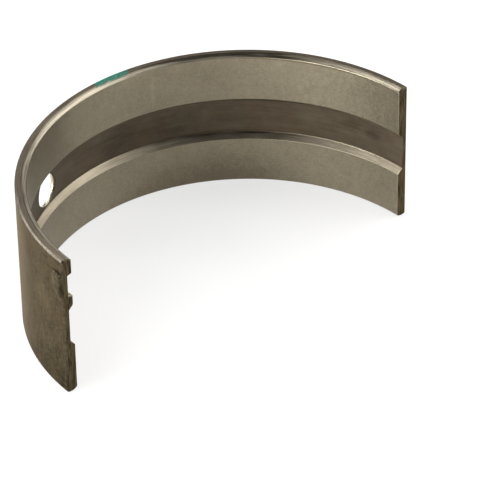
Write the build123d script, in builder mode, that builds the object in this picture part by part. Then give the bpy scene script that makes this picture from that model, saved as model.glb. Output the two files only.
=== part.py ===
from build123d import *
import os
from math import cos, hypot, radians, sin, tan

# Heavy-duty journal bearing half shell with a full oil groove.
# The shell stands on one edge face. The origin is the centre of its bore, half way up its width.
# +Z runs up along the bore axis and +Y points from the axis to the crown of the arc.

# Driving dimensions, in millimetres and degrees
housing_diameter = 168.0      # bore of the housing that clamps the shell to a true half turn
free_arc = 177.4              # arc spanned by the unclamped shell, which springs open
wall = 4.5                    # steel back and lining together
width = 60.0                  # from edge face to edge face

# Bevels along the two edge faces
back_bevel = 0.6              # 45 degree bevel at the back
bore_bevel_reach = 2.1        # how far the bevel at the bore runs across the edge face
bore_bevel_drop = 1.2         # how far it runs down the bore
bore_bevel_bulge = 0.22       # how far its convex face stands out past a straight one

# Oil groove round the middle of the bore, open at both parting faces
groove_mouth = 19.0
groove_floor = 14.4
groove_depth = 2.3

# Oil hole through the groove floor
oil_hole_diameter = 13.2
oil_hole_angle = 25.5         # from the crown towards the end with the locating lug
oil_hole_inner_sink = 0.5     # 45 degree sinks on both sides of the wall
oil_hole_outer_sink = 0.9

# Locating lug pressed out of the wall at one parting face, with a recess behind it in the bore.
# Heights are above the middle of the width, lengths run along the arc from the parting face.
lug_rise = 1.8                # its face above the back, at the parting face
lug_fall = 10.0               # angle by which the face and the recess floor sink towards the wall
lug_top = 23.0                # upper side of the face, sheared nearly square
lug_bottom = 15.6             # lower side of the face
lug_length = 5.2              # of the face
lug_shear_angle = 80.0        # of the upper flank, from the back
lug_flank_angle = 24.5        # of the lower and the far flank, from the back
lug_corner_start = 2.4        # the lower far corner is cut off obliquely from here on
lug_corner_angle = 42.5
lug_shoulder = 1.6            # size of the 45 degree cut on the upper far corner
recess_depth = 2.3            # at the parting face
recess_top = 22.7             # upper side of the recess floor
recess_bottom = 13.4          # lower side of the recess floor
recess_side_angle = 75.0      # of the upper and the lower side, from the floor

# Broken edges
parting_break = 0.5           # round the parting faces
lug_edge_radius = 0.4

# Values that follow from the driving dimensions
outer_radius = housing_diameter / 2 * 180.0 / free_arc
bore_radius = outer_radius - wall
groove_floor_radius = bore_radius + groove_depth
half_width = width / 2
crown_angle = 90.0
plain_end_angle = crown_angle - free_arc / 2
lug_end_angle = crown_angle + free_arc / 2
hole_axis_angle = crown_angle + oil_hole_angle
hole_radius = oil_hole_diameter / 2
lug_root_depth = (wall - groove_depth) / 2   # the flanks of the lug start this deep in the wall
overrun = 1.0                 # how far cutting bodies stand past the surface that they cut


def outward(angle):
    """Unit vector that points away from the bore axis."""
    return Vector(cos(radians(angle)), sin(radians(angle)), 0)


def run(height, angle):
    """How far a slope at this angle runs while it climbs the height."""
    return height / tan(radians(angle))


def radial_plane(angle):
    """Plane through the bore axis: its x axis points outward and its y axis is +Z."""
    return Plane(origin=(0, 0, 0), x_dir=outward(angle), z_dir=outward(angle - 90))


def tangent_plane(angle, distance, fall=0.0):
    """Plane that faces outward, with its x axis running forward round the arc and +Z as its y axis.

    Behind its origin the plane sinks towards the bore axis by the angle fall.
    """
    return Plane(
        origin=outward(angle) * distance,
        x_dir=outward(angle + 90 - fall),
        z_dir=outward(angle - fall),
    )


def beside_groove(edge):
    """Test for edges of a parting face that don't belong to the groove."""
    middle = edge.center()
    return abs(middle.Z) > groove_mouth / 2 or hypot(middle.X, middle.Y) > groove_floor_radius


def lug_outline(length, bottom, top, spread=0.0):
    """Corners of one level of the lug seen from outside, with both far corners cut off.

    The parting face is at x = 0 and the shell lies at x < 0. On a level that stands out past the
    lug's face by spread, the oblique cut starts as much farther back as keeps it parallel.
    """
    corner_start = lug_corner_start + spread * tan(radians(lug_corner_angle / 2))
    corner_rise = (length - corner_start) * tan(radians(lug_corner_angle))
    return [
        (overrun, bottom),
        (-corner_start, bottom),
        (-length, bottom + corner_rise),
        (-length, top - lug_shoulder),
        (-length + lug_shoulder, top),
        (overrun, top),
    ]


with BuildPart() as bearing_shell:
    # Blank: the section of the wall with its bevels and its groove, turned through the free arc
    with BuildSketch(radial_plane(plain_end_angle)) as wall_section:
        with BuildLine() as upper_half:
            Polyline(
                (outer_radius, 0),
                (outer_radius, half_width - back_bevel),
                (outer_radius - back_bevel, half_width),
                (bore_radius + bore_bevel_reach, half_width),
            )
            SagittaArc(
                (bore_radius, half_width - bore_bevel_drop),
                (bore_radius + bore_bevel_reach, half_width),
                bore_bevel_bulge,
            )
            Polyline(
                (bore_radius, half_width - bore_bevel_drop),
                (bore_radius, groove_mouth / 2),
                (groove_floor_radius, groove_floor / 2),
                (groove_floor_radius, 0),
            )
            mirror(about=Plane.XZ)
        make_face()
    revolve(axis=Axis.Z, revolution_arc=free_arc)

    # Oil hole with a sink on each side, turned about its own radial axis
    with BuildSketch(radial_plane(hole_axis_angle)) as hole_section:
        Polygon(
            (groove_floor_radius - overrun, 0),
            (groove_floor_radius - overrun, hole_radius + oil_hole_inner_sink + overrun),
            (groove_floor_radius + oil_hole_inner_sink, hole_radius),
            (outer_radius - oil_hole_outer_sink, hole_radius),
            (outer_radius + overrun, hole_radius + oil_hole_outer_sink + overrun),
            (outer_radius + overrun, 0),
            align=None,
        )
    hole_axis = Axis((0, 0, 0), tuple(outward(hole_axis_angle)))
    revolve(axis=hole_axis, revolution_arc=360, mode=Mode.SUBTRACT)

    # Broken edges all round both parting faces, except where the groove runs out
    for end in (0, -1):
        parting_face = bearing_shell.faces().sort_by(Axis.X)[end]
        chamfer(parting_face.edges().filter_by(beside_groove), length=parting_break)

    # Locating lug: its flanks spread from the sinking face to a root inside the wall, and the
    # parting plane trims it flush
    with BuildSketch(tangent_plane(lug_end_angle, outer_radius + lug_rise, lug_fall)) as lug_face:
        Polygon(*lug_outline(lug_length, lug_bottom, lug_top), align=None)
    far_rise = lug_rise - lug_length * tan(radians(lug_fall))
    root_spread = run(lug_rise + lug_root_depth, lug_flank_angle)
    root_length = lug_length + run(far_rise + lug_root_depth, lug_flank_angle)
    root_top = lug_top + run(lug_rise + lug_root_depth, lug_shear_angle)
    with BuildSketch(tangent_plane(lug_end_angle, outer_radius - lug_root_depth)) as lug_root:
        Polygon(*lug_outline(root_length, lug_bottom - root_spread, root_top, root_spread), align=None)
    loft(sections=[lug_root.sketch, lug_face.sketch], ruled=True)
    split(bisect_by=radial_plane(lug_end_angle), keep=Keep.TOP)
    lug_axis = Axis((0, 0, 0), tuple(outward(lug_end_angle)))
    fillet(bearing_shell.faces().sort_by(lug_axis)[-1].edges(), radius=lug_edge_radius)

    # Recess behind the lug: its floor sinks with the lug's face, so the wall between them is even
    with BuildSketch(tangent_plane(lug_end_angle, bore_radius + recess_depth, lug_fall)) as recess_floor:
        Polygon(*lug_outline(lug_length, recess_bottom, recess_top), align=None)
    far_depth = recess_depth - lug_length * tan(radians(lug_fall))
    side_spread = run(recess_depth + overrun, recess_side_angle)
    mouth_length = lug_length + run(far_depth + overrun, lug_flank_angle)
    mouth_bottom = recess_bottom - side_spread
    mouth_top = recess_top + side_spread
    with BuildSketch(tangent_plane(lug_end_angle, bore_radius - overrun)) as recess_mouth:
        Polygon(*lug_outline(mouth_length, mouth_bottom, mouth_top, side_spread), align=None)
    loft(sections=[recess_floor.sketch, recess_mouth.sketch], ruled=True, mode=Mode.SUBTRACT)


os.makedirs("parts", exist_ok=True)
bearing_shell.part.label = "bearing_shell"
export_step(bearing_shell.part, "parts/bearing_shell.step")
print("outer radius", round(outer_radius, 3), "bore radius", round(bore_radius, 3))
print("volume mm3", round(bearing_shell.part.volume, 1), "solids", len(bearing_shell.part.solids()))
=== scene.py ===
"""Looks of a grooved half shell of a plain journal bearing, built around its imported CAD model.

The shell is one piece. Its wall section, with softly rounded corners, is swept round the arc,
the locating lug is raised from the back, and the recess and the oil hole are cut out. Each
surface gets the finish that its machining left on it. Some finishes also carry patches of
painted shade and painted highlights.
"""

import logging
from dataclasses import dataclass, field
from enum import Enum
from math import asin, cos, pi, radians, sin, sqrt, tan

import bmesh
import bpy
from mathutils import Matrix, Vector


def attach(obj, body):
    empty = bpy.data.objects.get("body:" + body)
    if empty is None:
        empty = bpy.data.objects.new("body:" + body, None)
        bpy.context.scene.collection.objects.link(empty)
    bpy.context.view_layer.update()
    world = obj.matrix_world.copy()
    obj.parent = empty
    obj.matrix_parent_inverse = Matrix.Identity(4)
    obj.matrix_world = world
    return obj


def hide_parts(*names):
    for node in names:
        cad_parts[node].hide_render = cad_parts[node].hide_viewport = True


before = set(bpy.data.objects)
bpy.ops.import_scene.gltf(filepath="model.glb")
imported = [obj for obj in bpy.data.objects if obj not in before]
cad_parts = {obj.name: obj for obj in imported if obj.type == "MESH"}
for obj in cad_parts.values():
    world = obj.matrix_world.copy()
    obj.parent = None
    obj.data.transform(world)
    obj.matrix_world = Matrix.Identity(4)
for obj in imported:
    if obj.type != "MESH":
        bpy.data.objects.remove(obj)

LOG = logging.getLogger("bearing_shell")
MM = 0.001
LONGEST_ROUNDING = 0.4  # share of a side that the rounding of one corner may take
Point = tuple[float, float]
Form = bmesh.types.BMesh
Ring = list[bmesh.types.BMVert]
Tree = bpy.types.NodeTree
Source = bpy.types.Node | bpy.types.NodeSocket


class Surface(Enum):
    """The surfaces of the shell. The value is the surface's material index."""

    BACK = 0
    EDGE_FACE = 1
    BEVEL = 2
    LAND = 3
    GROOVE_WALL = 4
    GROOVE_FLOOR = 5
    PARTING_FACE = 6
    OIL_HOLE = 7
    RECESS = 8
    BACK_BEVEL = 9


# ---------------------------------------------------------------------------- shape


@dataclass(frozen=True)
class Wall:
    """Sizes of the swept wall, the same as the solid's, in metres and degrees.

    Attributes:
        outer_radius: Radius of the back, with the shell sprung open.
        thickness: From the back to the lands of the bore.
        groove_depth: Depth of the oil groove.
        half_width: Half the width from edge face to edge face.
        free_arc: Arc that the shell spans.
        crown: Where the middle of the arc lies, from +X.
        parting_break: Size of the broken edges round the parting faces.
    """

    outer_radius: float = 168.0 / 2 * 180.0 / 177.4 * MM
    thickness: float = 4.5 * MM
    groove_depth: float = 2.3 * MM
    half_width: float = 30.0 * MM
    free_arc: float = 177.4
    crown: float = 90.0
    parting_break: float = 0.5 * MM

    @property
    def bore_radius(self) -> float:
        """Radius of the lands of the bore."""
        return self.outer_radius - self.thickness

    @property
    def groove_floor_radius(self) -> float:
        """Radius of the floor of the oil groove."""
        return self.bore_radius + self.groove_depth

    @property
    def plain_end(self) -> float:
        """Angle of the parting face without the lug, in degrees."""
        return self.crown - self.free_arc / 2

    @property
    def lug_end(self) -> float:
        """Angle of the parting face with the lug, in degrees."""
        return self.crown + self.free_arc / 2


@dataclass(frozen=True)
class Corner:
    """One corner of the wall section.

    Attributes:
        place: Radius and height.
        rounding: Radius that softens the corner.
        surface: Surface that starts here and runs to the next corner.
        broken: Whether that surface's edge on the parting faces is broken.
    """

    place: Point
    rounding: float
    surface: Surface
    broken: bool = True


@dataclass(frozen=True)
class Section:
    """The section of the wall: back, bevels, edge faces, lands and oil groove.

    Attributes:
        wall: Sizes of the swept wall.
        back_bevel: Size of the 45 degree bevel at the back.
        bevel_reach: How far the bevel at the bore runs across the edge face.
        bevel_drop: How far it runs down the bore.
        bevel_bulge: How far its convex face stands out past a straight one.
        bevel_facets: Number of parts that its face is divided into.
        groove_mouth: Width of the oil groove at the bore.
        groove_floor: Width of the groove's floor.
        edge_rounding: Radius of the corners at the back.
        brow_rounding: Radius of the outer corner of the bevel, and half that of the groove's lips.
        bevel_rounding: Radius that softens the bevel into the land.
        groove_rounding: Radius of the crease at the foot of the groove's walls.
        corner_steps: Number of segments of a rounded corner.
        coarse_step: Distance of the rows on the wide surfaces.
        fine_step: Distance of the rows on the back beside the lug.
        fine_from: Height above the middle where those rows start.
        fine_to: Height where they end.
    """

    wall: Wall = field(default_factory=Wall)
    back_bevel: float = 0.6 * MM
    bevel_reach: float = 2.1 * MM
    bevel_drop: float = 1.2 * MM
    bevel_bulge: float = 0.22 * MM
    bevel_facets: int = 4
    groove_mouth: float = 19.0 * MM
    groove_floor: float = 14.4 * MM
    edge_rounding: float = 0.12 * MM
    brow_rounding: float = 0.2 * MM
    bevel_rounding: float = 1.0 * MM
    groove_rounding: float = 1.1 * MM
    corner_steps: int = 4
    coarse_step: float = 2.4 * MM
    fine_step: float = 0.22 * MM
    fine_from: float = 8.5 * MM
    fine_to: float = 24.6 * MM

    def corners(self) -> list[Corner]:
        """Lists the corners, anticlockwise from the lower end of the back.

        Returns:
            The corners of the whole section.
        """
        w = self.wall
        edge, brow = self.edge_rounding, self.brow_rounding
        soft, foot = self.bevel_rounding, self.groove_rounding
        bore, floor, top = w.bore_radius, w.groove_floor_radius, w.half_width
        bevel_start, bevel_end = (bore + self.bevel_reach, top), (bore, top - self.bevel_drop)
        bevel = bulged(bevel_start, bevel_end, self.bevel_bulge, self.bevel_facets)
        upper = [
            Corner((w.outer_radius, top - self.back_bevel), edge, Surface.BACK_BEVEL),
            Corner((w.outer_radius - self.back_bevel, top), edge, Surface.EDGE_FACE),
            Corner(bevel_start, brow, Surface.BEVEL),
            *(Corner(place, soft, Surface.BEVEL) for place in bevel),
            Corner(bevel_end, soft, Surface.LAND),
            Corner((bore, self.groove_mouth / 2), brow * 2, Surface.GROOVE_WALL, False),
            Corner((floor, self.groove_floor / 2), foot, Surface.GROOVE_FLOOR, False),
        ]
        lower = []
        for k in range(len(upper) - 1, -1, -1):
            before = upper[k - 1] if k else Corner((0.0, 0.0), 0.0, Surface.BACK)
            radius, height = upper[k].place
            place = (radius, -height)
            lower.append(Corner(place, upper[k].rounding, before.surface, before.broken))
        return lower[-1:] + upper + lower[:-1]

    def outline(self, inset: float) -> tuple[list[Point], list[Surface]]:
        """Points of the section, with rounded corners and divided runs.

        Args:
            inset: How far the broken surfaces are moved into the wall.

        Returns:
            The points, and the surface between each point and the next.
        """
        corners = self.corners()
        sharp = moved([c.place for c in corners], [inset if c.broken else 0.0 for c in corners])
        count = len(corners)
        arcs = [
            rounded(sharp[k - 1], sharp[k], sharp[(k + 1) % count], c.rounding, self.corner_steps)
            for k, c in enumerate(corners)
        ]
        points: list[Point] = []
        surfaces: list[Surface] = []
        for k, (corner, arc) in enumerate(zip(corners, arcs)):
            following = arcs[(k + 1) % count]
            run = [lerp(arc[-1], following[0], t) for t in self.divisions(corner)]
            points += arc + run
            surfaces += [corners[k - 1].surface] * (len(arc) // 2)
            surfaces += [corner.surface] * (len(arc) - len(arc) // 2 + len(run))
        return points, surfaces

    def divisions(self, corner: Corner) -> list[float]:
        """Where the run after a corner is divided, as shares of its length.

        Args:
            corner: The corner that the run starts from.

        Returns:
            The shares, without 0 and 1.
        """
        long_runs = {
            Surface.BACK: 2 * self.wall.half_width,
            Surface.LAND: self.wall.half_width - self.groove_mouth / 2,
            Surface.GROOVE_FLOOR: self.groove_floor,
        }
        length = long_runs.get(corner.surface, 0.0)
        count = max(1, round(length / self.coarse_step))
        shares = [k / count for k in range(1, count)]
        if corner.surface is not Surface.BACK:
            return shares
        fine = int((self.fine_to - self.fine_from) / self.fine_step)
        low = 0.5 + self.fine_from / length
        high = 0.5 + self.fine_to / length
        return (
            [s for s in shares if s < low - self.fine_step / length]
            + [low + (high - low) * k / fine for k in range(fine + 1)]
            + [s for s in shares if s > high + self.fine_step / length]
        )


def lerp(a: Point, b: Point, share: float) -> Point:
    """The point a share of the way from a to b."""
    return (a[0] + (b[0] - a[0]) * share, a[1] + (b[1] - a[1]) * share)


def bulged(start: Point, end: Point, bulge: float, count: int) -> list[Point]:
    """Inner points of an arc that stands out to the right of the straight way from start to end.

    Args:
        start: Where the arc starts.
        end: Where it ends.
        bulge: How far its middle stands out.
        count: Number of parts that the points divide it into.

    Returns:
        The points, count - 1 of them.
    """
    chord = Vector(end) - Vector(start)
    along = chord.normalized()
    out = Vector((along.y, -along.x))
    radius = (chord.length ** 2 / 4 + bulge ** 2) / (2 * bulge)
    half = asin(chord.length / (2 * radius))
    centre = (Vector(start) + Vector(end)) / 2 - out * (radius - bulge)
    turns = (half * (2 * k / count - 1) for k in range(1, count))
    return [tuple(centre + (along * sin(t) + out * cos(t)) * radius) for t in turns]


def moved(points: list[Point], distances: list[float]) -> list[Point]:
    """Moves each side of an anticlockwise polygon inwards and joins the sides again.

    Args:
        points: The polygon's corners.
        distances: How far the side from each corner to the next moves.

    Returns:
        The new corners.
    """
    lines = []
    for k, a in enumerate(points):
        b = points[(k + 1) % len(points)]
        along = Vector((b[0] - a[0], b[1] - a[1])).normalized()
        inward = Vector((-along.y, along.x))
        lines.append((Vector(a) + inward * distances[k], along))
    corners = []
    for k, (origin, along) in enumerate(lines):
        before, before_along = lines[k - 1]
        cross = before_along.x * along.y - before_along.y * along.x
        gap = origin - before
        reach = (gap.x * along.y - gap.y * along.x) / cross
        corners.append(tuple(before + before_along * reach))
    return corners


def rounded(before: Point, corner: Point, after: Point, radius: float, steps: int) -> list[Point]:
    """Points of the arc that rounds one corner of a polygon.

    Args:
        before: The corner before it.
        corner: The corner itself.
        after: The corner after it.
        radius: Radius of the arc; it shrinks where the sides are too short for it.
        steps: Number of segments of the arc.

    Returns:
        The arc's points, steps + 1 of them.
    """
    tip = Vector(corner)
    back, on = Vector(before) - tip, Vector(after) - tip
    half = back.angle(on) / 2
    room = LONGEST_ROUNDING * min(back.length, on.length)
    reach = min(radius / tan(half), room)
    radius = reach * tan(half)
    back, on = back.normalized(), on.normalized()
    centre = tip + (back + on).normalized() * (radius / sin(half))
    start = tip + back * reach - centre
    turn = start.angle_signed(tip + on * reach - centre)
    arc = []
    for k in range(steps + 1):
        spoke = Matrix.Rotation(-turn * k / steps, 2) @ start
        arc.append(tuple(centre + spoke))
    return arc


@dataclass(frozen=True)
class Pressing:
    """The locating lug or its recess: a face, and the flanks that spread down from it.

    Heights are above the middle of the width, lengths run along the arc from the parting face.

    Attributes:
        rise: How far the face stands out, at the parting face.
        root: How far inside the wall the flanks end.
        top: Upper side of the face.
        bottom: Lower side of the face.
        side_spread: How far the lower flank spreads from face to root.
        top_spread: How far the upper flank spreads.
        flank: Slope of the far flank, from the wall, in degrees.
        fall: Angle by which the face sinks towards the wall.
        length: Length of the face.
        corner_start: Where the oblique cut at the lower far corner starts.
        corner_angle: Angle of that cut.
        shoulder: Size of the 45 degree cut on the upper far corner.
    """

    rise: float
    root: float
    top: float
    bottom: float
    side_spread: float
    top_spread: float
    flank: float
    fall: float = 10.0
    length: float = 5.2 * MM
    corner_start: float = 2.4 * MM
    corner_angle: float = 42.5
    shoulder: float = 1.6 * MM

    @property
    def far_rise(self) -> float:
        """How far the far end of the face stands out."""
        return self.rise - self.length * tan(radians(self.fall))

    @property
    def root_length(self) -> float:
        """Length of the root, where the far flank ends."""
        return self.length + (self.far_rise + self.root) / tan(radians(self.flank))

    def outline(
        self, length: float, bottom: float, top: float, spread: float, overrun: float
    ) -> list[Point]:
        """Corners of one level, seen from outside, with the parting face at x = 0.

        Args:
            length: Length of the level.
            bottom: Its lower side.
            top: Its upper side.
            spread: How far the level stands out past the face.
            overrun: How far it runs past the parting face.

        Returns:
            The corners, anticlockwise.
        """
        start = self.corner_start + spread * tan(radians(self.corner_angle / 2))
        rise = (length - start) * tan(radians(self.corner_angle))
        return [
            (overrun, bottom),
            (overrun, top),
            (self.shoulder - length, top),
            (-length, top - self.shoulder),
            (-length, bottom + rise),
            (-start, bottom),
        ]

    def height(self, arc: float, z: float, radius: float, softness: float) -> float:
        """Height of the pressed form above a cylinder.

        Args:
            arc: Distance from the parting face.
            z: Height above the middle of the width.
            radius: Radius of the cylinder.
            softness: How softly the planes of the form run into each other.

        Returns:
            The height, 0 beside the form.
        """
        face = self.rise - arc * tan(radians(self.fall))
        angle = radians(self.corner_angle)
        oblique = (arc - self.corner_start) * sin(angle) - (z - self.bottom) * cos(angle)
        shoulder = (arc - self.length + z - self.top + self.shoulder) / sqrt(2)
        shoulder_spread = (self.root_length - self.length + self.top_spread) / sqrt(2)
        planes = [face]
        for outside, spread in (
            (self.bottom - z, self.side_spread),
            (z - self.top, self.top_spread),
            (arc - self.length, self.root_length - self.length),
            (oblique, self.side_spread),
            (shoulder, shoulder_spread),
        ):
            planes.append(face - (face + self.root) * outside / spread)
        form = planes[0]
        for plane in planes[1:]:
            form = -soft_max(-form, -plane, softness)
        return soft_max(form + arc * arc / (2 * radius), 0.0, softness)


def soft_max(a: float, b: float, softness: float) -> float:
    """The larger of two heights, with a fillet of about softness where they meet."""
    gap = max(softness - abs(a - b), 0.0)
    return max(a, b) + gap * gap / (4 * softness)


@dataclass
class ShellBody:
    """The swept wall with the raised lug, the recess behind it and the oil hole.

    Attributes:
        slots: Material of each surface.
        wall: Sizes of the swept wall.
        section: Its section.
        lug_rise: How far the lug's face stands out, at the parting face.
        lug_root: How far inside the wall its flanks end.
        lug_flank: Slope of its lower and far flank, in degrees.
        lug_shear: Slope of its upper flank.
        lug_softness: How softly its planes run into each other.
        recess_depth: Depth of the recess, at the parting face.
        recess_side: Slope of its upper and lower side.
        overrun: How far cutting bodies stand past the surface that they cut.
        column_step: Distance of the columns round the arc.
        fine_column: Their distance beside the lug.
        fine_reach: How far from the parting face they are that close.
        break_profile: Distance from the parting face, and inset, of each column of the broken edge,
            in parts of its size.
        hole_radius: Radius of the oil hole.
        hole_angle: Its place, from the crown towards the lug.
        inner_sink: Size of the 45 degree sink in the groove's floor.
        outer_sink: Size of the sink in the back.
        inner_foot: How far the softened foot of the inner sink reaches up it and down the hole, in
            parts of the sink.
        outer_foot: The same for the outer sink.
        hole_sides: Number of sides of the hole.
        sharp_angle: Angle from which an edge shades as a sharp one.
        shortest_edge: Shorter edges, left by the cuts, are merged.
        darkened: How many columns from each end carry the parting face's finish, on surfaces where
            it runs over the broken edge.
    """

    slots: dict[Surface, bpy.types.Material]
    wall: Wall = field(default_factory=Wall)
    section: Section = field(default_factory=Section)
    lug_rise: float = 1.8 * MM
    lug_root: float = 1.1 * MM
    lug_flank: float = 24.5
    lug_shear: float = 80.0
    lug_softness: float = 0.42 * MM
    recess_depth: float = 2.3 * MM
    recess_side: float = 75.0
    overrun: float = 1.0 * MM
    column_step: float = 1.15 * MM
    fine_column: float = 0.24 * MM
    fine_reach: float = 11.0 * MM
    break_profile: tuple[Point, ...] = (
        (0.0, 1.1), (0.06, 0.96), (0.5, 0.5), (0.96, 0.06), (1.2, 0.0)
    )
    hole_radius: float = 6.6 * MM
    hole_angle: float = 25.5
    inner_sink: float = 0.5 * MM
    outer_sink: float = 0.9 * MM
    inner_foot: tuple[float, float] = (0.2, 0.3)
    outer_foot: tuple[float, float] = (0.15, 0.15)
    hole_sides: int = 128
    sharp_angle: float = 32.0
    shortest_edge: float = 0.001 * MM
    darkened: tuple[tuple[Surface, int], ...] = (
        (Surface.EDGE_FACE, 3), (Surface.BEVEL, 3), (Surface.BACK_BEVEL, 3), (Surface.LAND, 2)
    )

    def lug(self) -> Pressing:
        """The form of the lug above the back.

        Returns:
            The form.
        """
        spread = (self.lug_rise + self.lug_root) / tan(radians(self.lug_flank))
        shear = (self.lug_rise + self.lug_root) / tan(radians(self.lug_shear))
        return Pressing(
            rise=self.lug_rise, root=self.lug_root, top=23.0 * MM, bottom=15.6 * MM,
            side_spread=spread, top_spread=shear, flank=self.lug_flank,
        )

    def recess(self) -> Pressing:
        """The form of the recess behind the lug, as the cutter has it.

        Returns:
            The form.
        """
        spread = (self.recess_depth + self.overrun) / tan(radians(self.recess_side))
        return Pressing(
            rise=self.recess_depth, root=self.overrun, top=22.7 * MM, bottom=13.4 * MM,
            side_spread=spread, top_spread=spread, flank=self.lug_flank,
        )

    def columns(self) -> list[tuple[float, float]]:
        """Angle and inset of each column of the sweep, from the plain end to the lug end.

        Returns:
            Angles in degrees and insets in metres.
        """
        w = self.wall
        degrees_per_metre = 180.0 / (pi * w.outer_radius)
        length = w.free_arc / degrees_per_metre
        broken = [(s * w.parting_break, d * w.parting_break) for s, d in self.break_profile]
        inner = broken[-1][0]
        coarse_end = length - self.fine_reach
        coarse_length, fine_length = coarse_end - inner, length - inner - coarse_end
        count = round(coarse_length / self.column_step)
        fine = round((self.fine_reach - inner) / self.fine_column)
        places = (
            broken
            + [(inner + coarse_length * k / count, 0.0) for k in range(1, count + 1)]
            + [(coarse_end + fine_length * k / fine, 0.0) for k in range(1, fine)]
            + [(length - s, inset) for s, inset in reversed(broken)]
        )
        return [(w.plain_end + s * degrees_per_metre, inset) for s, inset in places]

    def sweep(self) -> bpy.types.Object:
        """Sweeps the section round the arc and raises the lug from the back.

        Returns:
            The closed wall, with no hole and no recess yet.
        """
        form = bmesh.new()
        lug, w = self.lug(), self.wall
        back_from = w.outer_radius - 2 * w.parting_break
        back_half = w.half_width - self.section.back_bevel
        rings = []
        surfaces: list[Surface] = []
        for angle, inset in self.columns():
            points, surfaces = self.section.outline(inset)
            arc = radians(w.lug_end - angle) * w.outer_radius
            east, north = cos(radians(angle)), sin(radians(angle))
            ring = []
            for radius, z in points:
                if arc < self.fine_reach and radius > back_from and abs(z) < back_half:
                    radius += lug.height(arc, z, w.outer_radius, self.lug_softness)
                ring.append(form.verts.new((radius * east, radius * north, z)))
            rings.append(ring)
        last, dark_steps = len(rings) - 2, dict(self.darkened)
        for step, (a, b) in enumerate(zip(rings, rings[1:])):
            for k, surface in enumerate(surfaces):
                n = (k + 1) % len(surfaces)
                face = form.faces.new((a[k], a[n], b[n], b[k]))
                darkened = min(step, last - step) < dark_steps.get(surface, 0)
                face.material_index = (Surface.PARTING_FACE if darkened else surface).value
        for ring in (rings[0][::-1], rings[-1]):
            form.faces.new(ring).material_index = Surface.PARTING_FACE.value
        bmesh.ops.recalc_face_normals(form, faces=form.faces)
        return self.finished(form, "wall")

    def recess_cutter(self) -> bpy.types.Object:
        """Body that cuts the recess out of the bore behind the lug.

        Returns:
            The cutter, as an object.
        """
        recess, w = self.recess(), self.wall
        floor_outline = recess.outline(recess.length, recess.bottom, recess.top, 0.0, self.overrun)
        mouth_outline = recess.outline(
            recess.root_length, recess.bottom - recess.side_spread, recess.top + recess.top_spread,
            recess.side_spread, self.overrun,
        )
        angle, fall = radians(w.lug_end), radians(recess.fall)
        out, along = Vector((cos(angle), sin(angle), 0)), Vector((-sin(angle), cos(angle), 0))
        sunk = Vector((cos(angle + pi / 2 - fall), sin(angle + pi / 2 - fall), 0))
        form = bmesh.new()
        rings = []
        for outline, radius, forward in (
            (floor_outline, w.bore_radius + self.recess_depth, sunk),
            (mouth_outline, w.bore_radius - self.overrun, along),
        ):
            corners = (out * radius + forward * x + Vector((0, 0, z)) for x, z in outline)
            rings.append([form.verts.new(corner) for corner in corners])
        return self.closed_prism(form, rings, (Surface.RECESS,), "recess_cutter")

    def hole_cutter(self) -> bpy.types.Object:
        """Body that drills the oil hole with its sinks.

        Returns:
            The cutter, as an object.
        """
        w, r = self.wall, self.hole_radius
        floor, back = w.groove_floor_radius, w.outer_radius
        inner, outer = self.inner_sink, self.outer_sink
        (inner_up, inner_down), (outer_up, outer_down) = self.inner_foot, self.outer_foot
        turned = [
            (floor - self.overrun, r + inner + self.overrun),
            (floor + inner * (1 - inner_up), r + inner * inner_up),
            (floor + inner * (1 + inner_down), r),
            (back - outer * (1 + outer_down), r),
            (back - outer * (1 - outer_up), r + outer * outer_up),
            (back + self.overrun, r + outer + self.overrun),
        ]
        angle = radians(w.crown + self.hole_angle)
        out, side = Vector((cos(angle), sin(angle), 0)), Vector((-sin(angle), cos(angle), 0))
        up = Vector((0, 0, 1))
        form = bmesh.new()
        rings = []
        for place, radius in turned:
            turns = (2 * pi * k / self.hole_sides for k in range(self.hole_sides))
            corners = (out * place + (side * cos(t) + up * sin(t)) * radius for t in turns)
            rings.append([form.verts.new(corner) for corner in corners])
        surfaces = (Surface.GROOVE_FLOOR,) + (Surface.OIL_HOLE,) * (len(rings) - 2)
        return self.closed_prism(form, rings, surfaces, "hole_cutter")

    def build(self) -> bpy.types.Object:
        """Builds the whole shell.

        Returns:
            The shell's object, smooth but for its sharp edges.
        """
        shell = self.sweep()
        cutters = [self.recess_cutter(), self.hole_cutter()]
        for cutter in cutters:
            cut = shell.modifiers.new(cutter.name, "BOOLEAN")
            cut.operation, cut.solver, cut.object = "DIFFERENCE", "EXACT", cutter
        bpy.context.view_layer.update()
        cut_shell = shell.evaluated_get(bpy.context.evaluated_depsgraph_get())
        whole = bpy.data.meshes.new_from_object(cut_shell)
        shell.modifiers.clear()
        shell.data = whole
        for cutter in cutters:
            bpy.data.objects.remove(cutter)
        form = bmesh.new()
        form.from_mesh(whole)
        bmesh.ops.dissolve_degenerate(form, dist=self.shortest_edge, edges=form.edges)
        form.to_mesh(whole)
        form.free()
        whole.shade_smooth()
        whole.set_sharp_from_angle(angle=radians(self.sharp_angle))
        weighted = shell.modifiers.new("even_shading", "WEIGHTED_NORMAL")
        weighted.keep_sharp = True
        shell.name = whole.name = "bearing_half_shell"
        return shell

    def closed_prism(
        self, form: Form, rings: list[Ring], surfaces: tuple[Surface, ...], name: str
    ) -> bpy.types.Object:
        """Closes a stack of rings into a body.

        Args:
            form: The form that holds the rings.
            rings: Rings of vertices with the same count each.
            surfaces: Surface between each ring and the next.
            name: Name of the object.

        Returns:
            The body, as an object.
        """
        for a, b, surface in zip(rings, rings[1:], surfaces):
            for k in range(len(a)):
                form.faces.new((a[k - 1], a[k], b[k], b[k - 1])).material_index = surface.value
        form.faces.new(rings[0]).material_index = surfaces[0].value
        form.faces.new(rings[-1]).material_index = surfaces[-1].value
        bmesh.ops.recalc_face_normals(form, faces=form.faces)
        return self.finished(form, name)

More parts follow.
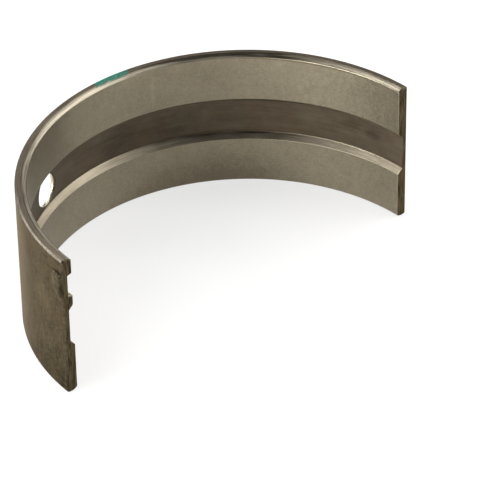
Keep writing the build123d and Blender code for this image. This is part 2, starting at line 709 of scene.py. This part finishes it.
    def finished(self, form: Form, name: str) -> bpy.types.Object:
        """Turns a form into an object that has a material slot for each surface.

        Args:
            form: The form; it is freed.
            name: Name of the object and its mesh.

        Returns:
            The object, linked to the scene.
        """
        mesh = bpy.data.meshes.new(name)
        form.to_mesh(mesh)
        form.free()
        piece = bpy.data.objects.new(name, mesh)
        for surface in Surface:
            mesh.materials.append(self.slots[surface])
        bpy.context.scene.collection.objects.link(piece)
        return piece


# ---------------------------------------------------------------------------- finishes


NOISE_ROUGHNESS = 0.6
GRAIN_SPAN = (0.3, 0.7)  # the part of the noise's range that it mostly keeps to
GLOSS_SWING = 0.05  # how far the grain moves a metal's roughness to each side
BUMP_STRENGTH = 0.5
PATCH_CORE = 0.25  # share of a patch's reach within which it is at its full strength
PATCH_RIM_WAVER = 4.0  # in millimetres: the rim of a stain, rubbed place, painted shade or painted highlight wavers over about this distance


def linear(code: str) -> tuple[float, float, float, float]:
    """Turns an sRGB hex colour into linear RGBA.

    Args:
        code: Six hex digits after a hash.

    Returns:
        Red, green, blue and alpha.
    """
    channels = [int(code[k : k + 2], 16) / 255 for k in (1, 3, 5)]
    return (*(c / 12.92 if c <= 0.04045 else ((c + 0.055) / 1.055) ** 2.4 for c in channels), 1.0)


def add(tree: Tree, kind: str, inputs: dict | None = None, **settings: str) -> bpy.types.Node:
    """Adds a node with its settings and links.

    Args:
        tree: Tree that gets the node.
        kind: The node's type, without its ShaderNode prefix.
        inputs: Value or source of each input, by name or number. A node gives its first output.
        settings: Attributes of the node.

    Returns:
        The node.
    """
    node = tree.nodes.new("ShaderNode" + kind)
    for name, value in settings.items():
        setattr(node, name, value)
    for key, value in (inputs or {}).items():
        if isinstance(value, bpy.types.Node):
            value = value.outputs[0]
        if isinstance(value, bpy.types.NodeSocket):
            tree.links.new(value, node.inputs[key])
        else:
            node.inputs[key].default_value = value
    return node


@dataclass(frozen=True)
class Place:
    """Where a point lies on the shell, in millimetres, as sources in the tree of one material.

    Attributes:
        tree: The tree.
        arc: Arc from the crown towards the lug, at the back.
        height: Height above the middle of the width.
        depth: Depth in from the back.
        spread: The three as one vector.
    """

    tree: Tree
    arc: Source
    height: Source
    depth: Source
    spread: Source

    @classmethod
    def read(cls, tree: Tree, wall: Wall) -> "Place":
        """Works the place out from the object's coordinates.

        Args:
            tree: Tree of the material.
            wall: Sizes of the wall.

        Returns:
            The place.
        """
        where = add(tree, "TexCoord").outputs["Object"]
        axes = add(tree, "SeparateXYZ", {0: where}).outputs
        turn = add(tree, "Math", {0: axes["Y"], 1: axes["X"]}, operation="ARCTAN2")
        past = add(tree, "Math", {0: turn, 1: radians(wall.crown)}, operation="SUBTRACT")
        arc = add(tree, "Math", {0: past, 1: wall.outer_radius / MM}, operation="MULTIPLY")
        height = add(tree, "Math", {0: axes["Z"], 1: 1 / MM}, operation="MULTIPLY")
        flat = add(tree, "CombineXYZ", {0: axes["X"], 1: axes["Y"]})
        radius = add(tree, "VectorMath", {0: flat}, operation="LENGTH").outputs["Value"]
        inward = add(tree, "Math", {0: wall.outer_radius, 1: radius}, operation="SUBTRACT")
        depth = add(tree, "Math", {0: inward, 1: 1 / MM}, operation="MULTIPLY")
        spread = add(tree, "CombineXYZ", {0: arc, 1: height, 2: depth})
        return cls(tree, arc, height, depth, spread)

    def noise(self, sizes: tuple[float, float, float], detail: float = 3.0) -> Source:
        """Noise with its own grain size along the arc, the height and the depth.

        Args:
            sizes: Grain sizes in millimetres.
            detail: Octaves of the noise.

        Returns:
            The noise, about 0 to 1.
        """
        scale = {0: self.spread, 1: tuple(1 / size for size in sizes)}
        scaled = add(self.tree, "VectorMath", scale, operation="MULTIPLY")
        inputs = {"Vector": scaled, "Scale": 1.0, "Detail": detail, "Roughness": NOISE_ROUGHNESS}
        return add(self.tree, "TexNoise", inputs).outputs["Fac"]


@dataclass(frozen=True)
class Pattern:
    """One kind of unevenness that covers a whole surface.

    Attributes:
        sizes: Its grain along the arc, the height and the depth, in millimetres.
        swing: How far it moves the tone, where 1 is the whole way from dark to light.
        detail: Octaves of its noise.
    """

    sizes: tuple[float, float, float]
    swing: float
    detail: float = 3.0


@dataclass(frozen=True)
class Patch:
    """A soft patch of another tone at one place of a surface.

    Attributes:
        arc: Its middle along the arc, from the crown towards the lug, in millimetres.
        height: Its middle above the middle of the width, in millimetres.
        reach: Half its length and half its height, in millimetres.
        swing: How far it moves the tone at its middle.
        waver: How uneven its rim is, as a share of its reach.
    """

    arc: float
    height: float
    reach: tuple[float, float]
    swing: float
    waver: float = 0.9


@dataclass(frozen=True)
class MetalFinish:
    """A machined metal surface.

    Attributes:
        name: The metal's common name and how its surface was made.
        dark: Colour of the darkest tone.
        light: Colour of the lightest tone.
        roughness: Roughness in the middle of its range.
        patterns: What makes its tone uneven. The last one also drives the relief and the gloss.
        relief: Depth of the last pattern in metres, as it shows.
        patches: Stains and rubbed places, and patches of painted shade and painted highlights.
        edge_tint: Colour of what it mirrors at a grazing angle.
    """

    name: str
    dark: str
    light: str
    roughness: float
    patterns: tuple[Pattern, ...]
    relief: float
    patches: tuple[Patch, ...] = ()
    edge_tint: str = "#FFFFFF"

    def build(self, wall: Wall) -> bpy.types.Material:
        """Makes the material.

        Args:
            wall: Sizes of the wall.

        Returns:
            The material.
        """
        material = bpy.data.materials.new(self.name)
        material.use_nodes = True
        tree = material.node_tree
        tree.nodes.clear()
        place = Place.read(tree, wall)
        # Noise keeps to about a quarter of its range on each side of 0.5, so four times the swing
        # spreads it over the swing. The tone starts as low as brings its mean to 0.5.
        tone: Source | float = 0.5 - sum(2 * pattern.swing for pattern in self.patterns)
        for pattern in self.patterns:
            grain = place.noise(pattern.sizes, pattern.detail)
            swung = {0: grain, 1: 4 * pattern.swing, 2: tone}
            tone = add(tree, "Math", swung, operation="MULTIPLY_ADD")
        for patch in self.patches:
            tone = self.stain_and_painted_light(place, patch, tone)
        shades = {0: tone, 6: linear(self.dark), 7: linear(self.light)}
        colour = add(tree, "Mix", shades, data_type="RGBA").outputs[2]
        dull, (start, end) = self.roughness, GRAIN_SPAN
        glints = {0: grain, 1: start, 2: end, 3: dull - GLOSS_SWING, 4: dull + GLOSS_SWING}
        rough = add(tree, "MapRange", glints, interpolation_type="SMOOTHSTEP")
        relief = {"Height": grain, "Strength": BUMP_STRENGTH, "Distance": self.relief}
        metal = {
            "Base Color": self.tinted(place, colour), "Roughness": rough, "Metallic": 1.0,
            "Normal": add(tree, "Bump", relief), "Specular Tint": linear(self.edge_tint),
        }
        shader = self.covered(place, add(tree, "BsdfPrincipled", metal))
        add(tree, "OutputMaterial", {"Surface": shader})
        return material

    @staticmethod
    def stain_and_painted_light(place: Place, patch: Patch, tone: Source) -> Source:
        """Adds one patch to the tone, with an uneven rim.

        Args:
            place: Where the point lies.
            patch: The patch.
            tone: Tone so far.

        Returns:
            The tone with the patch.
        """
        tree, half = place.tree, patch.waver / 2
        off = {0: place.spread, 1: (-patch.arc, -patch.height, 0.0)}
        share = (1 / patch.reach[0], 1 / patch.reach[1], 0.0)
        scaled = {0: add(tree, "VectorMath", off, operation="ADD"), 1: share}
        reaches = add(tree, "VectorMath", scaled, operation="MULTIPLY")
        distance = add(tree, "VectorMath", {0: reaches}, operation="LENGTH").outputs["Value"]
        waver = {0: place.noise((PATCH_RIM_WAVER,) * 3), 1: patch.waver, 2: distance}
        wavering = add(tree, "Math", waver, operation="MULTIPLY_ADD")
        rim = {0: wavering, 1: 1.0 + half, 2: PATCH_CORE + half}
        mask = add(tree, "MapRange", rim, interpolation_type="SMOOTHSTEP")
        return add(tree, "Math", {0: mask, 1: patch.swing, 2: tone}, operation="MULTIPLY_ADD")

    def tinted(self, place: Place, colour: Source) -> Source:
        """Changes the hue of the metal. A plain finish keeps it.

        Args:
            place: Where the point lies.
            colour: Colour so far.

        Returns:
            The colour.
        """
        return colour

    def covered(self, place: Place, shader: Source) -> Source:
        """Adds what lies on the metal. A plain finish has nothing on it.

        Args:
            place: Where the point lies.
            shader: The bare metal.

        Returns:
            The shader of the surface.
        """
        return shader


@dataclass(frozen=True)
class PatinaFinish(MetalFinish):
    """A metal surface that handling and storage have browned in clouds.

    Attributes:
        patina: Colour of the brown film.
        patina_share: How much of it there is in the middle of a cloud.
        patina_sizes: Sizes of the clouds along the arc, the height and the depth, in millimetres.
        cloud_span: Noise at which a cloud starts and is full.
    """

    patina: str = "#56402A"
    patina_share: float = 0.35
    patina_sizes: tuple[float, float, float] = (7.0, 12.0, 5.0)
    cloud_span: tuple[float, float] = (0.42, 0.68)

    def tinted(self, place: Place, colour: Source) -> Source:
        """Lays brown clouds over the colour.

        Args:
            place: Where the point lies.
            colour: Colour so far.

        Returns:
            The browned colour.
        """
        start, full = self.cloud_span
        clouds = {0: place.noise(self.patina_sizes, 4.0), 1: start, 2: full, 4: self.patina_share}
        cloud = add(place.tree, "MapRange", clouds, interpolation_type="SMOOTHSTEP")
        film = {0: cloud, 6: colour, 7: linear(self.patina)}
        return add(place.tree, "Mix", film, data_type="RGBA").outputs[2]


@dataclass(frozen=True)
class PaintedFinish(MetalFinish):
    """A metal edge that carries a dab of marking paint near the crown, on the upper half.

    Distances are in millimetres.

    Attributes:
        paint: Colour of the full film.
        paint_dark: Colour where the film is thin.
        paint_from: Where the dab starts along the arc.
        paint_to: Where it ends.
        paint_depth: How far it runs in from the back.
        paint_share: How well it covers.
        slant: How far its ends shift towards the lug for each millimetre of depth.
        end_rim: Half the width of the soft rim at its ends.
        inner_rim: Half the width of its soft rim inside.
        waver: How far its rims waver to each side.
        waver_sizes: Over which distances they waver, as a brush leaves them.
        waver_span: Noise at which they reach farthest to each side.
        film_sizes: Over which distances the film is thick and thin.
        film_span: Noise at which it is thin and full.
        film_roughness: Roughness of the dry paint.
    """

    paint: str = "#28715C"
    paint_dark: str = "#13493C"
    paint_from: float = -12.9
    paint_to: float = 2.7
    paint_depth: float = 3.3
    paint_share: float = 1.0
    slant: float = 0.45
    end_rim: float = 0.3
    inner_rim: float = 0.25
    waver: float = 0.7
    waver_sizes: tuple[float, float, float] = (1.6, 1.6, 0.9)
    waver_span: tuple[float, float] = (0.2, 0.8)
    film_sizes: tuple[float, float, float] = (1.2, 1.0, 0.7)
    film_span: tuple[float, float] = (0.35, 0.65)
    film_roughness: float = 0.42

    def covered(self, place: Place, shader: Source) -> Source:
        """Lays the paint over the upper edge, from the back to most of the way in.

        Args:
            place: Where the point lies.
            shader: The bare metal.

        Returns:
            The metal with the paint on it.
        """
        tree, (start, end) = place.tree, self.waver_span
        uneven = place.noise(self.waver_sizes, detail=4.0)
        wavering = {0: uneven, 1: start, 2: end, 3: -self.waver, 4: self.waver}
        waver = add(tree, "MapRange", wavering, interpolation_type="SMOOTHSTEP")
        arc = add(tree, "Math", {0: place.arc, 1: waver}, operation="ADD")
        slant = {0: place.depth, 1: -self.slant, 2: arc}
        along = add(tree, "Math", slant, operation="MULTIPLY_ADD")
        inward = add(tree, "Math", {0: place.depth, 1: waver}, operation="ADD")
        mask: Source | float = self.paint_share
        for source, bare, full in (
            (along, self.paint_from - self.end_rim, self.paint_from + self.end_rim),
            (along, self.paint_to + self.end_rim, self.paint_to - self.end_rim),
            (inward, self.paint_depth + self.inner_rim, self.paint_depth - self.inner_rim),
            (place.height, 0.0, 1.0),
        ):
            rim = {0: source, 1: bare, 2: full}
            part = add(tree, "MapRange", rim, interpolation_type="SMOOTHSTEP")
            mask = add(tree, "Math", {0: mask, 1: part}, operation="MULTIPLY")
        thin, full = self.film_span
        film = {0: place.noise(self.film_sizes, detail=5.0), 1: thin, 2: full}
        shades = {
            0: add(tree, "MapRange", film, interpolation_type="SMOOTHSTEP"),
            6: linear(self.paint_dark), 7: linear(self.paint),
        }
        colour = add(tree, "Mix", shades, data_type="RGBA").outputs[2]
        coat = {"Base Color": colour, "Roughness": self.film_roughness}
        paint = add(tree, "BsdfPrincipled", coat)
        return add(tree, "MixShader", {0: mask, 1: shader, 2: paint})


FINISHES: dict[Surface, MetalFinish] = {
    # Ground steel, browned: soft upright streaks 1.6 mm wide, mottled by handling over 1 to 1.6 mm.
    Surface.BACK: PatinaFinish(
        "ground_steel_back", "#29241B", "#635A48", 0.5,
        (
            Pattern((14.0, 22.0, 5.0), 0.18), Pattern((1.6, 8.0, 3.0), 0.24),
            Pattern((1.1, 1.6, 1.0), 0.40, 4.0),
        ),
        0.00002,
        patches=(
            Patch(90.0, 5.0, (16.0, 44.0), 0.3, 0.3), Patch(120.0, -27.0, (18.0, 16.0), -0.35, 0.4),
            # The patch at 127.8 mm is a painted highlight on the ridge of the lug's face. The one
            # at 128.5 mm darkens the lug's upper flank, partly for its rough sheared face and
            # partly as painted shade.
            Patch(118.0, 8.0, (9.0, 9.0), 0.2), Patch(127.8, 20.3, (1.3, 3.0), 0.6, 0.3),
            Patch(128.5, 23.9, (4.0, 1.0), -0.6, 0.3), Patch(131.5, 18.0, (2.0, 4.5), -0.2, 0.3),
        ),
        edge_tint="#E9DFD0", patina="#594B36", patina_share=0.35,
    ),
    # Faced steel: grey, with the tool's lines along the edge, a third of a millimetre apart.
    Surface.EDGE_FACE: PaintedFinish(
        "faced_steel_edge", "#544A3E", "#8A7E6C", 0.42,
        (Pattern((18.0, 5.0, 5.0), 0.15), Pattern((14.0, 3.0, 0.35), 0.35, 4.0)),
        0.00001,
        patches=(
            Patch(-64.0, 30.0, (56.0, 60.0), -0.08, 0.0), Patch(26.0, 30.0, (34.0, 60.0), 0.2, 0.0),
            Patch(124.0, 30.0, (20.0, 60.0), 0.5, 0.0),
        ),
    ),
    # Turned steel, duller than the bevel inside, with the brown of the back on it.
    Surface.BACK_BEVEL: PaintedFinish(
        "turned_steel_back_bevel", "#2C2822", "#70695F", 0.5,
        (Pattern((9.0, 3.0, 3.0), 0.25), Pattern((5.0, 0.4, 0.4), 0.3, 4.0)),
        0.00001,
        patches=(
            Patch(126.0, 30.0, (26.0, 60.0), 0.3, 0.0), Patch(58.0, 30.0, (48.0, 60.0), -0.7, 0.0),
        ),
    ),
    # Turned metal, so bright that it runs from light to dark with the turn of the arc. Its lines
    # are half a millimetre apart, coarser than the tool's feed, so that they show.
    Surface.BEVEL: PaintedFinish(
        "turned_steel_bore_bevel", "#4C463C", "#A69E8C", 0.36,
        (Pattern((20.0, 2.0, 2.0), 0.10), Pattern((14.0, 0.5, 0.5), 0.4, 4.0)),
        0.00001,
        patches=(
            # All of these patches are painted light on the bevel's rims: the ones at 30.1 mm and
            # the one at -84 mm darken them as painted shade, and the ones at -36 mm and 9 mm
            # lighten them as painted highlights.
            Patch(-50.0, 30.1, (46.0, 1.1), -0.7, 0.0), Patch(70.0, 30.1, (52.0, 0.9), -0.35, 0.0),
            Patch(-36.0, 28.9, (50.0, 0.8), 0.3, 0.0), Patch(9.0, 30.0, (15.0, 1.2), 0.45, 0.0),
            Patch(-84.0, 28.9, (20.0, 0.9), -0.15, 0.0),
        ),
        paint_share=0.8, paint_depth=3.4,
    ),
    # Lining metal, bored: a pale satin. The tool's marks of 0.1 mm are too fine to show, and stand
    # as an even grain of 0.7 to 0.8 mm.
    Surface.LAND: MetalFinish(
        "bored_lining_metal", "#6A6252", "#958D79", 0.5,
        (
            Pattern((24.0, 16.0, 5.0), 0.10), Pattern((3.0, 5.0, 2.0), 0.08),
            Pattern((0.8, 0.7, 0.7), 0.26, 2.0),
        ),
        0.000008,
        patches=(
            # Painted shade: the patch at -126 mm darkens a band near the plain end, the one at -44
            # mm darkens the lower land in the middle, and the thin one at -88 mm is a dark line
            # along the land's upper rim, where it rounds into the bevel.
            Patch(-21.9, 19.0, (1.3, 13.0), 0.14), Patch(-126.0, 19.0, (26.0, 60.0), -0.2, 0.0),
            Patch(-44.0, -33.0, (54.0, 22.0), -0.48, 0.0),
            Patch(46.0, 20.0, (34.0, 60.0), -0.34, 0.0), Patch(-88.0, 28.6, (46.0, 0.8), -0.6, 0.0),
        ),
    ),
    # Turned metal with soft streaks along the groove. Painted shade darkens it over part of the
    # arc, and in a line along the crease at its foot.
    Surface.GROOVE_WALL: MetalFinish(
        "turned_steel_groove_wall", "#463F34", "#A59C89", 0.45,
        (Pattern((18.0, 3.0, 3.0), 0.15), Pattern((10.0, 0.45, 0.45), 0.2, 4.0)),
        0.00001,
        patches=(
            Patch(-30.0, -9.0, (30.0, 60.0), -0.03, 0.0),
            Patch(-70.0, -9.0, (20.0, 60.0), -0.16, 0.0),
            Patch(-54.0, -7.3, (66.0, 0.9), -0.32, 0.2),
        ),
        edge_tint="#EFE0C8",
    ),
    # Turned steel, dark brown and duller than the lands, with blotches of old oil and faint lines
    # along it.
    Surface.GROOVE_FLOOR: PatinaFinish(
        "turned_steel_groove_floor", "#433B30", "#62594B", 0.6,
        (
            Pattern((12.0, 6.0, 4.0), 0.28), Pattern((22.0, 0.8, 3.0), 0.16),
            Pattern((0.7, 0.7, 0.7), 0.22, 2.0),
        ),
        0.000012,
        patches=(
            Patch(-28.0, -1.0, (14.0, 7.0), -0.3, 0.6), Patch(-6.0, 0.0, (16.0, 12.0), -0.25, 0.6),
            Patch(-107.0, 2.5, (7.0, 4.0), -0.35, 0.6), Patch(-116.0, 1.5, (6.0, 3.5), -0.4, 0.6),
            # The patch at -54 mm is a line of painted shade along the crease where the floor meets
            # the lower wall.
            Patch(-134.0, 0.0, (14.0, 14.0), 0.35), Patch(-54.0, -7.0, (66.0, 0.8), -0.4, 0.2),
        ),
        patina_share=0.2,
    ),
    # Broached steel: brown streaks along the height, drawn 0.6 mm wide to show, with rustier runs.
    Surface.PARTING_FACE: PatinaFinish(
        "broached_steel_parting_face", "#1C1912", "#5C5443", 0.45,
        (Pattern((3.0, 12.0, 2.0), 0.2), Pattern((2.0, 7.0, 0.6), 0.85, 4.0)),
        0.000012,
        edge_tint="#E6D8C0", patina="#5C4326", patina_share=0.3, patina_sizes=(3.0, 9.0, 0.9),
    ),
    # Drilled steel: a bright wall with the drill's rings, a quarter of a millimetre apart.
    Surface.OIL_HOLE: MetalFinish(
        "drilled_steel_hole", "#B8B09C", "#DAD3C2", 0.35,
        (Pattern((3.0, 3.0, 1.0), 0.2), Pattern((4.0, 4.0, 0.25), 0.3, 4.0)),
        0.00001,
    ),
    # Pressed lining metal: paler than the land, with a soft grain of about 1.2 mm.
    Surface.RECESS: MetalFinish(
        "pressed_lining_recess", "#8E8574", "#C0B7A4", 0.5,
        (Pattern((4.0, 4.0, 2.0), 0.3), Pattern((1.2, 1.2, 1.2), 0.3)),
        0.00002,
    ),
}


# ---------------------------------------------------------------------------- studio


@dataclass(frozen=True)
class Softbox:
    """A rectangular studio lamp.

    Attributes:
        name: Name of the lamp.
        azimuth: Where it stands round the object, in degrees from the camera's side, anticlockwise.
        elevation: Its height over the object, in degrees.
        size: Its width and height in metres.
        power: Its power in watts.
    """

    name: str
    azimuth: float
    elevation: float
    size: tuple[float, float]
    power: float


@dataclass
class Studio:
    """A pale floor, soft light and the camera.

    Attributes:
        floor_size: Side of the square floor, in metres.
        floor_level: Its height.
        floor_colour: Colour of its paper.
        paper_roughness: Roughness of the paper.
        paper_sheen: How much the paper mirrors.
        paper_glow: How much of the paper's own white the camera and mirroring metal see, so that
            the background is white at a plain level of light. The rest shows the shadow.
        world_colour: Colour of the room.
        world_strength: How much the room lights the object.
        camera_place: Where the camera stands.
        camera_heading: Which way it looks, in degrees from +Y, anticlockwise.
        camera_drop: How far it looks down.
        camera_roll: How far it is rolled.
        lens: Focal length of its lens, in millimetres.
        sensor: Width of its sensor.
        far_clip: How far it sees, in metres.
        lamp_distance: How far each lamp stands from the object.
        lamps: The lamps.
    """

    floor_size: float = 6.0
    floor_level: float = -30.0 * MM
    floor_colour: str = "#F4F3F1"
    paper_roughness: float = 0.9
    paper_sheen: float = 0.1
    paper_glow: float = 0.7
    world_colour: str = "#E9E9E9"
    world_strength: float = 0.02
    camera_place: tuple[float, float, float] = (-0.680070, -0.793367, 0.757909)
    camera_heading: float = -40.7
    camera_drop: float = 36.1413
    camera_roll: float = -0.8150
    lens: float = 247.042
    sensor: float = 36.0
    far_clip: float = 20.0
    lamp_distance: float = 2.2
    lamps: tuple[Softbox, ...] = (
        Softbox("front_left_softbox", -40.0, 8.0, (1.7, 0.66), 66.0),
        Softbox("left_front_softbox", -60.0, 25.0, (0.78, 0.66), 25.0),
        Softbox("left_low_softbox", -120.0, 8.0, (0.93, 0.66), 24.0),
        Softbox("left_softbox", -100.0, 25.0, (0.78, 0.66), 13.0),
        Softbox("left_high_softbox", -108.0, 54.0, (0.8, 1.2), 16.0),
        Softbox("back_left_softbox", -146.0, 40.0, (1.0, 0.9), 15.0),
        Softbox("back_low_softbox", 165.0, 9.0, (1.0, 0.5), 3.0),
        Softbox("back_right_softbox", 146.0, 38.0, (1.0, 0.9), 10.0),
        Softbox("right_low_softbox", 77.0, 17.0, (0.9, 1.3), 22.0),
        Softbox("right_softbox", 110.0, 30.0, (1.5, 1.1), 27.0),
        Softbox("right_high_softbox", 106.0, 58.0, (1.0, 0.8), 10.0),
        Softbox("front_high_softbox", 22.0, 34.0, (1.4, 1.0), 2.4),
    )

    def floor(self) -> bpy.types.Object:
        """Lays the floor under the shell.

        Returns:
            The floor's object.
        """
        form = bmesh.new()
        half = self.floor_size / 2
        corners = [(-half, -half), (half, -half), (half, half), (-half, half)]
        form.faces.new([form.verts.new((x, y, self.floor_level)) for x, y in corners])
        mesh = bpy.data.meshes.new("studio_floor")
        form.to_mesh(mesh)
        form.free()
        paper = bpy.data.materials.new("matt_backdrop_paper")
        paper.use_nodes = True
        tree = paper.node_tree
        tree.nodes.clear()
        # Matt paper: pale and even, with soft shadows and next to no gloss.
        sheet = {
            "Base Color": linear(self.floor_colour), "Roughness": self.paper_roughness,
            "Specular IOR Level": self.paper_sheen,
        }
        rays = add(tree, "LightPath").outputs
        seen = rays["Is Camera Ray"]
        for kind in ("Is Glossy Ray", "Is Transmission Ray"):
            seen = add(tree, "Math", {0: seen, 1: rays[kind]}, operation="ADD")
        mixed = {
            0: add(tree, "Math", {0: seen, 1: self.paper_glow}, operation="MULTIPLY"),
            1: add(tree, "BsdfPrincipled", sheet),
            2: add(tree, "Emission", {"Color": linear("#FFFFFF"), "Strength": 1.0}),
        }
        add(tree, "OutputMaterial", {"Surface": add(tree, "MixShader", mixed)})
        mesh.materials.append(paper)
        piece = bpy.data.objects.new("studio_floor", mesh)
        bpy.context.scene.collection.objects.link(piece)
        return piece

    def light(self) -> None:
        """Sets the world and hangs the lamps."""
        scene = bpy.context.scene
        scene.view_settings.view_transform = "Standard"
        world = bpy.data.worlds.new("studio")
        scene.world = world
        world.use_nodes = True
        background = world.node_tree.nodes["Background"]
        background.inputs["Color"].default_value = linear(self.world_colour)
        background.inputs["Strength"].default_value = self.world_strength
        for lamp in self.lamps:
            self.hang(lamp)

    def hang(self, lamp: Softbox) -> None:
        """Hangs one lamp so that it faces the object.

        Args:
            lamp: The lamp.
        """
        data = bpy.data.lights.new(lamp.name, "AREA")
        data.shape = "RECTANGLE"
        data.size, data.size_y = lamp.size
        data.energy = lamp.power
        turn = radians(self.camera_heading - 90 + lamp.azimuth)
        rise = radians(lamp.elevation)
        away = Vector((cos(turn) * cos(rise), sin(turn) * cos(rise), sin(rise)))
        piece = bpy.data.objects.new(lamp.name, data)
        piece.location = away * self.lamp_distance
        piece.rotation_euler = away.to_track_quat("Z", "Y").to_euler()
        bpy.context.scene.collection.objects.link(piece)

    def camera(self) -> bpy.types.Object:
        """Sets up the camera at the photograph's place.

        Returns:
            The camera's object.
        """
        data = bpy.data.cameras.new("camera")
        data.lens, data.sensor_width, data.clip_end = self.lens, self.sensor, self.far_clip
        piece = bpy.data.objects.new("camera", data)
        turn = Matrix.Rotation(radians(self.camera_heading), 4, "Z")
        tilt = Matrix.Rotation(radians(90 - self.camera_drop), 4, "X")
        roll = Matrix.Rotation(radians(self.camera_roll), 4, "Z")
        piece.matrix_world = Matrix.Translation(self.camera_place) @ turn @ tilt @ roll
        bpy.context.scene.collection.objects.link(piece)
        bpy.context.scene.camera = piece
        return piece


def main() -> None:
    """Builds the shell and the studio, and reports each piece."""
    logging.basicConfig(level=logging.INFO, format="%(name)s: %(message)s")
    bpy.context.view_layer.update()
    slots = {surface: finish.build(Wall()) for surface, finish in FINISHES.items()}
    LOG.info("finishes: %d", len(slots))
    shell = ShellBody(slots).build()
    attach(shell, "root")
    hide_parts("bearing_shell")
    LOG.info("shell: %d faces, %d vertices", len(shell.data.polygons), len(shell.data.vertices))
    studio = Studio()
    LOG.info("floor: %s", studio.floor().name)
    studio.light()
    LOG.info("lamps: %d", len(studio.lamps))
    LOG.info("camera: %s", studio.camera().name)


if __name__ == "__main__":
    main()
